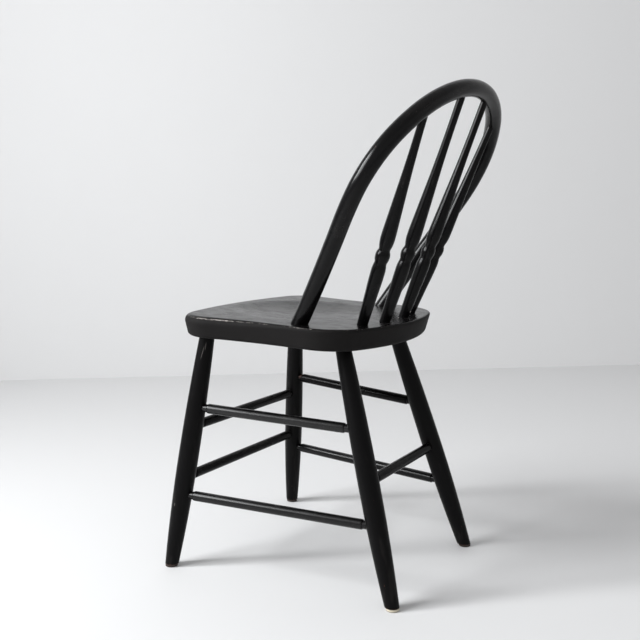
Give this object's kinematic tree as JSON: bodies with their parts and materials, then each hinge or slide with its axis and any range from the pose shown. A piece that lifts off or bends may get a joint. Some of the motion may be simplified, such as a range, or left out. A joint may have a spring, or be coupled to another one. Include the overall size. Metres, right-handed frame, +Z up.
{
  "type": "windsor chair",
  "caption": "Black painted windsor dining chair: a bent bow back over turned spindles, a saddled plank seat and splayed round legs tied by stretchers.",
  "frame": {"origin": "on the floor, under the middle of the chair's overall width and depth", "axes": "+Z up, the sitter faces -Y, +X is the sitter's left"},
  "size_m": [0.4628, 0.4948, 0.8339],
  "materials": {
    "black_paint": "satin paint, worn along the edges",
    "pale_glide": "matte, dusty",
    "dark_glide": "matte, scuffed"
  },
  "bodies": {
    "root": {"bow": "black_paint", "bow_wedge_left": "black_paint", "bow_wedge_right": "black_paint", "glide_front_left": "dark_glide", "glide_front_right": "dark_glide", "glide_rear_left": "pale_glide", "glide_rear_right": "dark_glide", "leg_front_left": "black_paint", "leg_front_right": "black_paint", "leg_rear_left": "black_paint", "leg_rear_right": "black_paint", "seat": "black_paint", "spindle_left_inner": "black_paint", "spindle_left_outer": "black_paint", "spindle_right_inner": "black_paint", "spindle_right_outer": "black_paint", "stretcher_front_lower": "black_paint", "stretcher_front_upper": "black_paint", "stretcher_left_lower": "black_paint", "stretcher_left_upper": "black_paint", "stretcher_rear": "black_paint", "stretcher_right_lower": "black_paint", "stretcher_right_upper": "black_paint"}
  },
  "joints": []
}
